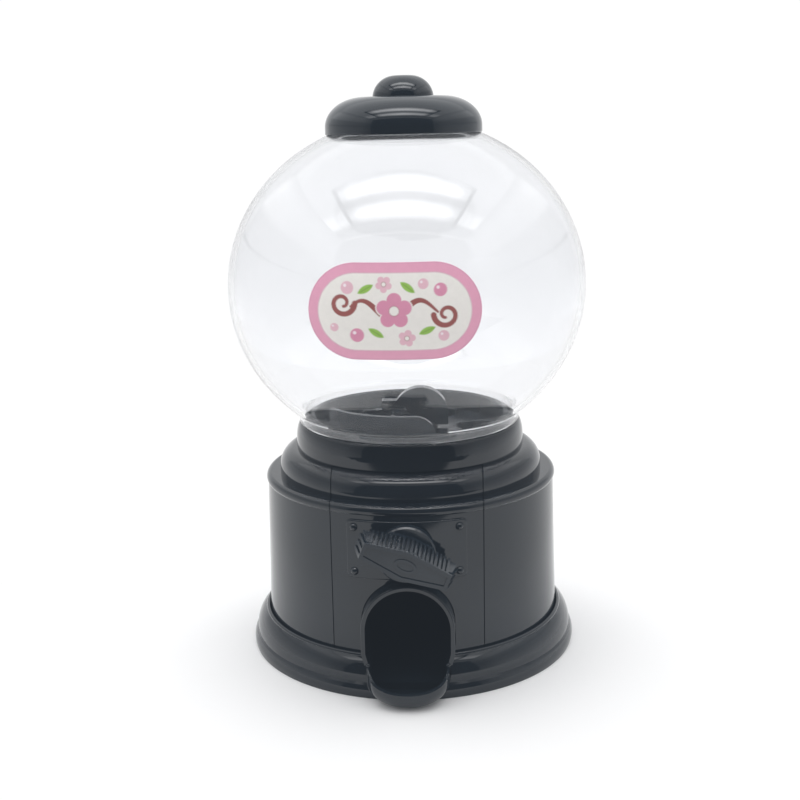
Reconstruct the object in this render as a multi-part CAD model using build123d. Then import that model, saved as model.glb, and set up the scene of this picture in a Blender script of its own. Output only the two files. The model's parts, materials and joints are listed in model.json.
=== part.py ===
from build123d import *
from math import cos, pi, radians, sin, sqrt
import os

# Gumball machine, a small table-top dispenser.  Millimetres, +Z up, the front faces -Y.
# The origin is on the globe's axis, on the surface that the machine stands on.

# ---- overall ----
TOP_Z = 139.6            # crown of the lid's knob
GLOBE_R = 43.4           # globe's largest radius
GLOBE_HALF_H = 39.9      # half height of the ellipsoid that the globe is part of
GLOBE_MID_Z = 90.0       # height of the globe's widest line
GLOBE_WALL = 1.3
MOUTH_R = 16.5           # opening at the top of the globe
SKIRT_R = 27.3           # short upright neck under the globe
FLANGE_R = 41.0          # widest point of the base ring

# ---- body shell ----
WALL = 1.6
FOOT_Z = 1.7             # underside of the shell wall, on the bottom cover
FLANGE_TOP_Z = 9.4
WALL_FOOT_R = 36.6       # outside of the wall where it leaves the base ring
WALL_TOP_R = 35.8        # outside of the wall under the shoulder bead
WALL_TOP_Z = 42.4
BEAD_R = 36.15
TREAD_1_Z = 44.6
STEP_R = 32.7
TREAD_2_Z = 50.5
STEP_SIDE_Z = 45.8       # the step is round above this height
COLLAR_R = 28.3
COLLAR_BORE_R = 25.3
COLLAR_TOP_Z = 56.9
COLLAR_SIDE_Z = 52.5     # the collar is round above this height
COLLAR_RIM_R = 26.9      # where its flat rim starts
PANEL_HALF_W = 17.5      # the front panel is bounded by two upright planes
PANEL_GAP = 0.2
PLATE_HALF_W = 13.75     # raised plate behind the knob
PLATE_LOW_Z = 27.5
PLATE_HIGH_Z = 41.3
PLATE_RAISE = 0.5
PLATE_CORNER_R = 1.2

# ---- outlet ----
ARCH_R = 10.75
ARCH_MID_Z = 16.6
ARCH_RIM_Y = -40.3
ARCH_WALL = 1.0
LEG_BEND_Z = 11.2        # the legs are upright above this height and draw in below it
LEG_FOOT_Z = 8.4
LEG_HALF_W = 10.05       # at the arch's feet
TUNNEL_BACK_Y = -7.0
TRAY_HALF_W = 9.5
TRAY_TIP_Y = -47.7
LIP_Z = 4.4
TRAY_LOW_Z = 0.3
TRAY_FLOOR_Z = 1.1
TRAY_BACK_Y = -37.0

# ---- dispensing mechanism ----
AXIS_Z = 34.3            # knob shaft
SHAFT_R = 1.75
RUN_GAP = 0.07           # radial clearance where a shaft turns in a hole
DECK_LOW_Z = 45.5
DECK_Z = 47.1            # floor of the hopper
CUP_R = 25.1
CUP_BORE_R = 23.9
CUP_TOP_Z = 58.0
WHEEL_R = 22.9
WHEEL_LOW_Z = 47.3
WHEEL_TOP_Z = 53.6
POCKETS = 6
POCKET_R = 4.8
POCKET_CIRCLE_R = 17.0
OUTLET_ANGLE = 28.7      # degrees to the left of the front, seen from above
SPINDLE_R = 2.9
MODULE = 1.0
PINION_TEETH = 10
CROWN_TEETH = 15
PINION_FRONT_Y = -8.3
PINION_BACK_Y = -6.7
BRACKET_FRONT_Y = -4.6
BRACKET_BACK_Y = -2.2

# ---- knob ----
KNOB_TILT = 22.0         # the bar rests turned this far, its left end up
HUB_R = 6.7
HUB_BACK_Y = -36.95
HUB_FRONT_Y = -39.1
BAR_BACK_Y = -40.6
BAR_FRONT_Y = -46.0
BAR_HALF_L = 10.25
BAR_MID_HALF_W = 3.4
BAR_END_HALF_W = 1.9
BAR_FLARE = 1.4          # how much wider the bar is all round at its back
RIB_COUNT = 19
RIB_PITCH = 1.0
RIB_W = 0.55
RIB_H = 0.5


def point_on(radius, angle, z=0.0):
    """A place at a radius, its angle in degrees counted from +X."""
    return (radius * cos(radians(angle)), radius * sin(radians(angle)), z)


OUTLET_X, OUTLET_Y, _ = point_on(POCKET_CIRCLE_R, 270.0 - OUTLET_ANGLE)


def lathe(points):
    """Turns a closed outline of (radius, height) corners about the Z axis."""
    return revolve(Plane.XZ * make_face(Polyline(*points, close=True)), Axis.Z)


def lathe_edges(edges):
    """Turns a closed outline made of lines and arcs about the Z axis."""
    return revolve(Plane.XZ * make_face(Curve() + edges), Axis.Z)


def block(x0, x1, y0, y1, z0, z1):
    """A box between two opposite corners."""
    box = Box(x1 - x0, y1 - y0, z1 - z0, align=(Align.MIN, Align.MIN, Align.MIN))
    return Pos(x0, y0, z0) * box


def rod(radius, low, high, x=0.0, y=0.0):
    """An upright cylinder between two heights."""
    base = Cylinder(radius, high - low, align=(Align.CENTER, Align.CENTER, Align.MIN))
    return Pos(x, y, low) * base


def rod_y(radius, front, back, x=0.0, z=AXIS_Z):
    """A cylinder along Y between a front and a back plane (front is the lower y)."""
    return Pos(x, (front + back) / 2, z) * Rot(90, 0, 0) * Cylinder(radius, back - front)


def front_face(y, shape):
    """Places a sketch drawn in (x, z) on an upright plane that faces the front."""
    return Plane(origin=(0, y, 0), x_dir=(1, 0, 0), z_dir=(0, -1, 0)) * shape


def prism_y(shape, front, back):
    """Extrudes a sketch drawn in (x, z) from the back plane forward to the front plane."""
    return extrude(front_face(back, shape), back - front)


def wall_r(z):
    """Outside radius of the tapered body wall."""
    along = (z - FLANGE_TOP_Z) / (WALL_TOP_Z - FLANGE_TOP_Z)
    return WALL_FOOT_R + along * (WALL_TOP_R - WALL_FOOT_R)


def body_outline():
    """The shell's outside, from the wall's foot over both steps to the collar's top."""
    bead_mid_z = (WALL_TOP_Z + TREAD_1_Z) / 2
    bead_top = (BEAD_R - (TREAD_1_Z - bead_mid_z), TREAD_1_Z)
    return [
        Line((0, FOOT_Z), (WALL_FOOT_R, FOOT_Z)),
        Line((WALL_FOOT_R, FOOT_Z), (WALL_FOOT_R, FLANGE_TOP_Z)),
        Line((WALL_FOOT_R, FLANGE_TOP_Z), (WALL_TOP_R, WALL_TOP_Z)),
        ThreePointArc((WALL_TOP_R, WALL_TOP_Z), (BEAD_R, bead_mid_z), bead_top),
        Line(bead_top, (STEP_R, TREAD_1_Z)),
        Line((STEP_R, TREAD_1_Z), (STEP_R, STEP_SIDE_Z)),
        EllipticalCenterArc(
            (COLLAR_R, STEP_SIDE_Z), STEP_R - COLLAR_R, TREAD_2_Z - STEP_SIDE_Z, arc_size=90),
        Line((COLLAR_R, TREAD_2_Z), (COLLAR_R, COLLAR_SIDE_Z)),
        EllipticalCenterArc(
            (COLLAR_RIM_R, COLLAR_SIDE_Z), COLLAR_R - COLLAR_RIM_R, COLLAR_TOP_Z - COLLAR_SIDE_Z,
            arc_size=90),
        Line((COLLAR_RIM_R, COLLAR_TOP_Z), (0, COLLAR_TOP_Z)),
        Line((0, COLLAR_TOP_Z), (0, FOOT_Z)),
    ]


def shell_body():
    """The whole turned shell, before it is parted into rear shell and front panel."""
    hollow = [
        (0, FOOT_Z - 1), (WALL_FOOT_R - WALL, FOOT_Z - 1), (WALL_FOOT_R - WALL, FLANGE_TOP_Z),
        (WALL_TOP_R - WALL, WALL_TOP_Z - 1), (WALL_TOP_R - WALL, TREAD_1_Z - WALL),
        (STEP_R - WALL, TREAD_1_Z - WALL), (STEP_R - WALL, STEP_SIDE_Z + 1.0),
        (COLLAR_R + 0.5, TREAD_2_Z - WALL), (COLLAR_BORE_R, TREAD_2_Z - WALL),
        (COLLAR_BORE_R, COLLAR_TOP_Z + 1), (0, COLLAR_TOP_Z + 1),
    ]
    return lathe_edges(body_outline()) - lathe(hollow)


def panel_zone(half_w, top):
    """The upright slice at the front that the panel fills."""
    return block(-half_w, half_w, -60, -5, 0, top)


BOTTOM_POSTS = [point_on(32.2, angle) for angle in (90, 210, 330)]
HOPPER_POSTS = [point_on(27.6, angle) for angle in (90, 210, 330)]
BOTTOM_PILOT_R = 1.2
HOPPER_PILOT_R = 1.05
POST_TOP_Z = 14.0


def rear_shell():
    """Wall, two steps and collar in one moulding, open at the front for the panel."""
    shell = shell_body() - panel_zone(PANEL_HALF_W + PANEL_GAP, TREAD_2_Z + 0.05)
    envelope = lathe_edges(body_outline())
    for x, y, _ in BOTTOM_POSTS:
        shell += rod(3.4, FOOT_Z, POST_TOP_Z, x, y) & envelope
    for x, y, _ in HOPPER_POSTS:
        shell += rod(2.15, DECK_Z + 0.05, TREAD_2_Z - 1.0, x, y)
    for x, y, _ in BOTTOM_POSTS:
        shell -= rod(BOTTOM_PILOT_R + 0.05, FOOT_Z - 1, POST_TOP_Z - 2, x, y)
    for x, y, _ in HOPPER_POSTS:
        shell -= rod(HOPPER_PILOT_R, DECK_Z - 1, TREAD_2_Z - 0.5, x, y)
    return shell


def arch_outline(grow):
    """The outlet's section: a round arch on two legs that draw in a little at their feet."""
    arch = ARCH_R + grow
    leg = LEG_HALF_W + grow
    foot = TRAY_HALF_W + grow
    foot_z = LEG_FOOT_Z - 1.0
    low = TRAY_LOW_Z - max(grow, 0)
    return make_face(Curve() + [
        ThreePointArc((-arch, ARCH_MID_Z), (0, ARCH_MID_Z + arch), (arch, ARCH_MID_Z)),
        Polyline((arch, ARCH_MID_Z), (arch, LEG_BEND_Z), (leg, LEG_FOOT_Z), (foot, foot_z), (foot, low),
                 (-foot, low), (-foot, foot_z), (-leg, LEG_FOOT_Z), (-arch, LEG_BEND_Z),
                 (-arch, ARCH_MID_Z)),
    ])


def raised_plate():
    """Plate behind the knob, bent with the wall, its corners round and its edge bevelled."""
    low, high, out = PLATE_LOW_Z - 1, PLATE_HIGH_Z + 1, PLATE_RAISE
    bent = lathe([
        (wall_r(low) - 0.6, low), (wall_r(low) + out, low),
        (wall_r(high) + out, high), (wall_r(high) - 0.6, high)])
    mid_z, height = (PLATE_LOW_Z + PLATE_HIGH_Z) / 2, PLATE_HIGH_Z - PLATE_LOW_Z
    outline = Pos(0, mid_z) * RectangleRounded(2 * PLATE_HALF_W, height, PLATE_CORNER_R)
    plate = bent & prism_y(outline, -45, -25)
    rim = [edge for edge in plate.edges()
           if abs(radius_at(edge.center()) - wall_r(edge.center().Z) - out) < 0.02]
    return fillet(rim, 0.3)


def radius_at(point):
    """Distance of a place from the Z axis."""
    return sqrt(point.X**2 + point.Y**2)


def front_panel():
    """Front slice of the shell with the knob's plate, the arch hole and side tongues."""
    low_in = (WALL_FOOT_R - WALL, FLANGE_TOP_Z)
    panel = shell_body() & panel_zone(PANEL_HALF_W, TREAD_2_Z - 0.05)
    panel -= rod(COLLAR_BORE_R + 0.1, 40, 60)
    panel += raised_plate()
    for x in (-12.0, 12.0):
        for z in (29.1, 39.6):
            surface = wall_r(z) + PLATE_RAISE
            panel += Pos(x, -sqrt(surface**2 - x**2) + 0.15, z) * Sphere(0.98)
    tongue_low, tongue_high = 11.0, 39.0
    slope = (WALL_FOOT_R - WALL_TOP_R) / (WALL_TOP_Z - FLANGE_TOP_Z)
    inner_low = low_in[0] - slope * (tongue_low - FLANGE_TOP_Z)
    inner_high = low_in[0] - slope * (tongue_high - FLANGE_TOP_Z)
    tongue = lathe([
        (inner_low - 1.7, tongue_low), (inner_low - 0.2, tongue_low),
        (inner_high - 0.2, tongue_high), (inner_high - 1.7, tongue_high),
    ])
    bridge = lathe([
        (inner_low - 1.7, tongue_low), (inner_low + 0.4, tongue_low),
        (inner_high + 0.4, tongue_high), (inner_high - 1.7, tongue_high),
    ])
    for side in (-1, 1):
        edges = sorted((side * 15.6, side * 20.0))
        panel += tongue & block(edges[0], edges[1], -40, -5, 0, 60)
        edges = sorted((side * 15.6, side * PANEL_HALF_W))
        panel += bridge & block(edges[0], edges[1], -40, -5, 0, 60)
    panel += rod_y(4.2, -35.0, -27.2)
    panel -= rod_y(SHAFT_R + RUN_GAP, -40, -25)
    return panel - prism_y(arch_outline(0.15), -50, -20)


def base_ring():
    """Moulded foot ring with a bead at its top and bottom, notched for the outlet."""
    ring = lathe_edges([
        Line((WALL_FOOT_R + 0.15, 0), (FLANGE_R - 0.15, 0)),
        ThreePointArc((FLANGE_R - 0.15, 0), (FLANGE_R, 1.5), (40.5, 3.0)),
        Line((40.5, 3.0), (40.1, 3.5)),
        ThreePointArc((40.1, 3.5), (39.35, 6.9), (37.75, 8.75)),
        ThreePointArc((37.75, 8.75), (37.55, 9.3), (37.0, FLANGE_TOP_Z)),
        Line((37.0, FLANGE_TOP_Z), (WALL_FOOT_R + 0.15, FLANGE_TOP_Z - 0.3)),
        Line((WALL_FOOT_R + 0.15, FLANGE_TOP_Z - 0.3), (WALL_FOOT_R + 0.15, 0)),
    ])
    notch = prism_y(arch_outline(0.2), -50, -20)
    notch -= block(-20, 20, -60, TRAY_BACK_Y - 0.2, -1, LEG_FOOT_Z)
    return ring - notch - tray_hull(-0.2, -0.1, -30, LEG_FOOT_Z + 0.1)


def bottom_cover():
    """Round floor of the body with sunk screw seats and stiffening rings inside."""
    cover = rod(WALL_FOOT_R, 0, FOOT_Z - 0.05)
    cover -= rod(27.0, -1, 0.35) - rod(8.0, -1, 0.35)
    for x, y, _ in BOTTOM_POSTS:
        cover += rod(3.3, 0, FOOT_Z - 0.05, x, y)
        cover -= rod(2.6, -1, 1.0, x, y)
        cover -= rod(BOTTOM_PILOT_R + 0.2, -1, 5, x, y)
    ring = rod(24.0, FOOT_Z - 0.1, 3.0) - rod(22.8, FOOT_Z - 0.2, 4.0)
    return cover + (ring - block(-13, 13, -60, 0, 0, 10))


def cross_screw(shank_r, head_r, head_h, length):
    """Self-tapping screw pointing up, the underside of its head at z = 0."""
    screw = rod(shank_r, -0.1, length - shank_r)
    screw += Pos(0, 0, length - shank_r) * Cone(
        shank_r, 0.15, shank_r, align=(Align.CENTER, Align.CENTER, Align.MIN))
    screw += rod(head_r, -head_h, 0)
    slot = head_r * 0.28
    screw -= block(-head_r * 0.7, head_r * 0.7, -slot / 2, slot / 2, -head_h - 1, -head_h * 0.45)
    screw -= block(-slot / 2, slot / 2, -head_r * 0.7, head_r * 0.7, -head_h - 1, -head_h * 0.45)
    return screw


def screws_at(places, z, shank_r, head_r, head_h, length):
    """Equal screws in one group, their heads seated at height z."""
    return [Pos(x, y, z) * cross_screw(shank_r, head_r, head_h, length) for x, y, _ in places]


FLOOR_BACK_Z = 13.4      # top of the tunnel's floor at its back
FLOOR_FRONT_Z = 2.0      # and under the arch's rim, where it meets the tray


def above_floor(drop, front):
    """Everything over the sloping floor, lowered by drop, back from the front plane."""
    back = TUNNEL_BACK_Y + 2
    slope = (FLOOR_BACK_Z - FLOOR_FRONT_Z) / (TUNNEL_BACK_Y - ARCH_RIM_Y)
    high = FLOOR_FRONT_Z - drop + slope * (back - ARCH_RIM_Y)
    low = FLOOR_FRONT_Z - drop + slope * (front - ARCH_RIM_Y)
    side = Plane.YZ * make_face(Polyline((back, high), (back, 40), (front, 40), (front, low), close=True))
    return extrude(side, 20, both=True)


TRAY_SHAPE = [           # height, half width, reach in front of the arch, squareness of the plan
    (8.4, 9.5, 7.4, 2.3), (6.0, 9.48, 7.4, 2.3), (4.2, 9.35, 7.35, 2.25),
    (2.8, 8.8, 7.1, 2.15), (1.3, 7.3, 6.3, 2.05), (TRAY_LOW_Z, 5.2, 4.6, 2.0),
]
TRAY_WALL = 0.6


def tray_level(z, half_w, reach, power, back_y):
    """One level of the scoop: straight sides and a front between an ellipse and a box."""
    count = 12
    front = []
    for i in range(count + 1):
        turn = pi * i / count
        side = abs(cos(turn)) ** (2 / power) * (1 if i <= count / 2 else -1)
        ahead = sin(turn) ** (2 / power) if 0 < i < count else 0.0
        front.append((half_w * side, ARCH_RIM_Y - reach * ahead))
    curve = Spline(*front, tangents=((0, -1), (0, 1)))
    sides = Polyline((-half_w, ARCH_RIM_Y), (-half_w, back_y), (half_w, back_y), (half_w, ARCH_RIM_Y))
    return Pos(0, 0, z) * make_face(Curve() + [curve, sides])


def tray_hull(inset, floor_z, back_y, top_z):
    """Boat-like body of the scoop, drawn in all round and raised to floor_z."""
    squeeze = (TRAY_SHAPE[0][0] - floor_z) / (TRAY_SHAPE[0][0] - TRAY_LOW_Z)
    levels = [
        tray_level(top_z - (TRAY_SHAPE[0][0] - z) * squeeze, half_w - inset, reach - inset, power, back_y)
        for z, half_w, reach, power in TRAY_SHAPE]
    return loft(levels)


DUCT_WALL = 0.8
DUCT_BEND_Z = 31.5       # the duct is upright above this height and leans below it
DUCT_FOOT_Z = 19.0
DUCT_LEAN = 19.0         # degrees, towards the middle of the tunnel


def duct_core(radius):
    """Round duct, upright past the knob shaft and then leaning to the tunnel's middle."""
    upright = rod(radius, DUCT_BEND_Z, DECK_LOW_Z - 0.05, OUTLET_X, OUTLET_Y)
    length = (DUCT_BEND_Z - DUCT_FOOT_Z) / cos(radians(DUCT_LEAN))
    leaning = Rot(0, -DUCT_LEAN, 0) * rod(radius, -length, 0)
    elbow = Sphere(radius)
    return upright + Pos(OUTLET_X, OUTLET_Y, DUCT_BEND_Z) * (leaning + elbow)


def outlet_chute():
    """Arched tunnel with a sloping floor, ending in an open scoop in front of the body."""
    low_front = block(-20, 20, -60, TRAY_BACK_Y, 0, LEG_FOOT_Z)
    outer = prism_y(arch_outline(0), ARCH_RIM_Y, TUNNEL_BACK_Y) & above_floor(1.2, -60)
    outer &= block(-20, 20, -60, 0, FOOT_Z + 0.05, 40)
    rim = outer.edges().filter_by_position(Axis.Y, ARCH_RIM_Y - 0.01, ARCH_RIM_Y + 0.01)
    outer = fillet([edge for edge in rim if edge.center().Z > LEG_BEND_Z], 0.3) - low_front
    inner = prism_y(arch_outline(-ARCH_WALL), ARCH_RIM_Y - 1, TUNNEL_BACK_Y - ARCH_WALL)
    inner &= above_floor(0, -60)
    inner -= Pos(0, -TRAY_WALL - 0.3, 0) * low_front
    chute = outer + tray_hull(0, TRAY_LOW_Z, TRAY_BACK_Y, LEG_FOOT_Z) - inner
    chute -= tray_hull(TRAY_WALL, TRAY_FLOOR_Z, TRAY_BACK_Y - TRAY_WALL, LEG_FOOT_Z + 0.01)
    cut = Plane.YZ * make_face(Polyline(
        (ARCH_RIM_Y, LEG_FOOT_Z), (TRAY_TIP_Y, LIP_Z), (TRAY_TIP_Y - 4, LIP_Z),
        (TRAY_TIP_Y - 4, 20), (ARCH_RIM_Y, 20), close=True))
    chute -= extrude(cut, 20, both=True)
    for side in (-1, 1):
        chute += Pos(side * 9.1, ARCH_RIM_Y + 0.05, LEG_FOOT_Z) * Sphere(0.55)
    flange = prism_y(arch_outline(1.9), -31.1, -29.9) - prism_y(arch_outline(-0.6), -32, -29)
    chute += flange & block(-20, 20, -40, 0, 6.5, 40)
    return chute - duct_core(POCKET_R)


def drop_duct():
    """Tube from the hopper's outlet to the tunnel's roof."""
    duct = duct_core(POCKET_R + DUCT_WALL)
    duct += rod(POCKET_R + 2.0, DECK_LOW_Z - 1.0, DECK_LOW_Z - 0.05, OUTLET_X, OUTLET_Y)
    duct -= duct_core(POCKET_R)
    duct -= rod(POCKET_R, DECK_LOW_Z - 2, DECK_LOW_Z + 1, OUTLET_X, OUTLET_Y)
    return duct - prism_y(arch_outline(0.1), -60, 0)


BRACKET_POSTS = [(-13.4, 1.0, 0), (13.4, 1.0, 0)]
CUP_FLANGE_R = 29.9


def hopper_cup():
    """Cup that holds the wheel: floor with outlet and spindle hole, rim and flange."""
    cup = lathe_edges([
        Line((0, DECK_LOW_Z), (CUP_FLANGE_R, DECK_LOW_Z)),
        Line((CUP_FLANGE_R, DECK_LOW_Z), (CUP_FLANGE_R, DECK_Z)),
        Line((CUP_FLANGE_R, DECK_Z), (CUP_R, DECK_Z)),
        Line((CUP_R, DECK_Z), (CUP_R, CUP_TOP_Z - 0.6)),
        ThreePointArc((CUP_R, CUP_TOP_Z - 0.6), ((CUP_R + CUP_BORE_R) / 2, CUP_TOP_Z),
                      (CUP_BORE_R, CUP_TOP_Z - 0.6)),
        Line((CUP_BORE_R, CUP_TOP_Z - 0.6), (CUP_BORE_R, DECK_Z)),
        Line((CUP_BORE_R, DECK_Z), (0, DECK_Z)),
        Line((0, DECK_Z), (0, DECK_LOW_Z)),
    ])
    cup += rod(5.0, DECK_LOW_Z - 1.2, DECK_LOW_Z)
    for x, y, _ in BRACKET_POSTS:
        cup += rod(2.8, DECK_LOW_Z - 2.0, DECK_LOW_Z, x, y)
        cup -= rod(HOPPER_PILOT_R, DECK_LOW_Z - 3, DECK_Z - 0.4, x, y)
    for x, y, _ in HOPPER_POSTS:
        cup -= rod(HOPPER_PILOT_R + 0.2, DECK_LOW_Z - 1, DECK_Z + 1, x, y)
    cup -= rod(SPINDLE_R + RUN_GAP, 40, 50)
    return cup - rod(POCKET_R, 40, 50, OUTLET_X, OUTLET_Y)


GUARD_LEFT = 51.0        # degrees to the left of the front
GUARD_RIGHT = 17.0
GUARD_ROOF_Z = 54.2
GUARD_TOP_Z = 62.8
GUARD_R = 23.7


def sector(low, high, reach):
    """Upright wedge in front of the axis, between the guard's two ends."""
    ends = [point_on(reach, 270 + turn) for turn in (-GUARD_LEFT, -GUARD_RIGHT, GUARD_RIGHT)]
    outline = Polyline((0, 0), *[(x, y) for x, y, _ in ends], close=True)
    return extrude(Pos(0, 0, low) * make_face(outline), high - low)


def outlet_guard():
    """Roof over the pocket at the outlet, with a tall curved fence along the rim."""
    roof = rod(GUARD_R, GUARD_ROOF_Z, GUARD_ROOF_Z + 1.2) - rod(11.5, 50, 60)
    fence = rod(GUARD_R, GUARD_ROOF_Z, GUARD_TOP_Z) - rod(GUARD_R - 1.2, 50, 70)
    guard = (roof + fence) & sector(50, 70, 60)
    round_r = 5.0
    x_end, _, _ = point_on(GUARD_R, 270 + GUARD_RIGHT)
    corner = block(x_end - round_r, x_end + 1, -30, -15, GUARD_TOP_Z - round_r, GUARD_TOP_Z + 1)
    corner -= rod_y(round_r, -35, -10, x_end - round_r, GUARD_TOP_Z - round_r)
    return guard - corner


def dispensing_wheel():
    """Pocketed wheel with a spindle that ends in a square tang."""
    wheel = lathe_edges([
        Line((0, WHEEL_LOW_Z), (WHEEL_R, WHEEL_LOW_Z)),
        Line((WHEEL_R, WHEEL_LOW_Z), (WHEEL_R, WHEEL_TOP_Z - 1.2)),
        ThreePointArc((WHEEL_R, WHEEL_TOP_Z - 1.2), (WHEEL_R - 0.4, WHEEL_TOP_Z - 0.4),
                      (WHEEL_R - 1.2, WHEEL_TOP_Z)),
        Line((WHEEL_R - 1.2, WHEEL_TOP_Z), (0, WHEEL_TOP_Z)),
        Line((0, WHEEL_TOP_Z), (0, WHEEL_LOW_Z)),
    ])
    for i in range(POCKETS):
        x, y, _ = point_on(POCKET_CIRCLE_R, 270 - OUTLET_ANGLE + i * 360 / POCKETS)
        wheel -= rod(POCKET_R - 0.1, WHEEL_LOW_Z - 1, WHEEL_TOP_Z + 1, x, y)
        wheel -= Pos(x, y, WHEEL_TOP_Z) * Cone(POCKET_R - 0.1, POCKET_R + 0.5, 0.8)
    wheel += rod(SPINDLE_R, CROWN_WEB_Z + 0.1, WHEEL_LOW_Z)
    wheel += block(-1.6, 1.6, -1.6, 1.6, CROWN_LOW_Z + 0.1, CROWN_WEB_Z + 0.2)
    wheel -= rod(0.95, CROWN_LOW_Z - 1, CROWN_WEB_Z + 3)
    for x in (-4.6, 4.6):
        wheel -= rod(1.05, WHEEL_TOP_Z - 2.5, WHEEL_TOP_Z + 1, x)
    return wheel


PITCH_Z = AXIS_Z + MODULE * PINION_TEETH / 2     # height where the two gears' teeth meet
CROWN_R = MODULE * CROWN_TEETH / 2
CROWN_TIP_Z = PITCH_Z - 0.75
CROWN_LOW_Z = PITCH_Z + 1.15
CROWN_WEB_Z = CROWN_LOW_Z + 2.0
CROWN_IN_R = CROWN_R - 1.4
CROWN_OUT_R = CROWN_R + 1.4


def crown_gear():
    """Disc with teeth that hang from its underside, on the wheel's square tang."""
    gear = rod(CROWN_OUT_R, CROWN_LOW_Z, CROWN_WEB_Z)
    root_half, tip_half = 0.55, 0.3
    tooth = Plane.XZ * make_face(Polyline(
        (-root_half, CROWN_LOW_Z + 0.2), (root_half, CROWN_LOW_Z + 0.2),
        (tip_half, CROWN_TIP_Z), (-tip_half, CROWN_TIP_Z), close=True))
    bar = Pos(0, -CROWN_IN_R, 0) * extrude(tooth, CROWN_OUT_R - CROWN_IN_R - 0.1)
    for i in range(CROWN_TEETH):
        gear += Rot(0, 0, i * 360 / CROWN_TEETH) * bar
    return gear - block(-1.65, 1.65, -1.65, 1.65, CROWN_LOW_Z - 1, CROWN_WEB_Z + 1)


def drive_pinion():
    """Spur pinion on the knob shaft, a gap between teeth upwards to meet a crown tooth."""
    pitch_r = MODULE * PINION_TEETH / 2
    root_r, tip_r = pitch_r - 0.95, pitch_r + 0.75
    shape = Circle(root_r)
    for i in range(PINION_TEETH):
        turn = 90 + (i + 0.5) * 360 / PINION_TEETH
        tooth = make_face(Polyline(
            (root_r - 0.4, -0.75), (root_r - 0.4, 0.75), (tip_r, 0.28), (tip_r, -0.28), close=True))
        shape += Rot(0, 0, turn) * tooth
    pinion = prism_y(Pos(0, AXIS_Z) * shape, PINION_FRONT_Y, PINION_BACK_Y)
    pinion += rod_y(2.9, PINION_FRONT_Y - 0.9, BRACKET_FRONT_Y - 0.3)
    return pinion - d_shaft(SHAFT_R + 0.05, -12, 0)


def d_shaft(radius, front, back):
    """Round bar with one flat, its size given by the radius."""
    flat = block(-5, 5, front - 1, back + 1, AXIS_Z + radius - 0.45, AXIS_Z + radius + 3)
    return rod_y(radius, front, back) - flat


KNOB_BORE_Y = -43.0
CLIP_Y = -26.8


def knob_shaft():
    """Steel shaft from the knob to the bracket, flatted in the knob and in the pinion."""
    shaft = rod_y(SHAFT_R, -36.0, PINION_FRONT_Y - 1.0)
    shaft += d_shaft(SHAFT_R, KNOB_BORE_Y + 0.1, -35.9)
    shaft += d_shaft(SHAFT_R, PINION_FRONT_Y - 1.1, BRACKET_FRONT_Y - 0.2)
    return shaft + rod_y(SHAFT_R, BRACKET_FRONT_Y - 0.3, BRACKET_BACK_Y + 0.8)


def shaft_clip():
    """Push-on washer that holds the shaft behind the panel's boss."""
    clip = rod_y(3.6, CLIP_Y, CLIP_Y + 0.9)
    for angle in (0, 120, 240):
        arm = Pos(0, 0, AXIS_Z) * Rot(0, angle, 0) * block(-0.3, 0.3, CLIP_Y - 1, CLIP_Y + 2, 1.5, 2.6)
        clip -= arm
    return clip - rod_y(SHAFT_R + 0.03, CLIP_Y - 1, CLIP_Y + 2)


def gear_bracket():
    """Hanging frame under the hopper with the shaft's rear bearing."""
    y0, y1 = BRACKET_FRONT_Y, BRACKET_BACK_Y
    top = DECK_LOW_Z - 2.05
    frame = block(-14.6, 14.6, y0, y1, AXIS_Z - 3.4, AXIS_Z + 3.2)
    for side in (-1, 1):
        edges = sorted((side * 12.2, side * 14.6))
        frame += block(edges[0], edges[1], y0, y1, AXIS_Z, top)
        edges = sorted((side * 10.6, side * 16.0))
        frame += block(edges[0], edges[1], y0, 3.8, top - 1.6, top)
    for x, y, _ in BRACKET_POSTS:
        frame -= rod(HOPPER_PILOT_R + 0.2, 30, 50, x, y)
    return frame - rod_y(SHAFT_R + RUN_GAP, y0 - 1, y1 + 1)


def bar_outline(grow):
    """The knob bar's face: a long hexagon, widest in the middle."""
    length, mid, end = BAR_HALF_L + grow, BAR_MID_HALF_W + grow, BAR_END_HALF_W + grow
    corners = [(-length, -end), (0, -mid), (length, -end), (length, end), (0, mid), (-length, end)]
    return make_face(Polyline(*corners, close=True))


def tapered_bar(grow):
    """Bar that narrows from its back to its face."""
    back = front_face(BAR_BACK_Y, bar_outline(BAR_FLARE + grow))
    front = front_face(BAR_FRONT_Y, bar_outline(grow))
    return loft([back, front], ruled=True)


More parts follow.
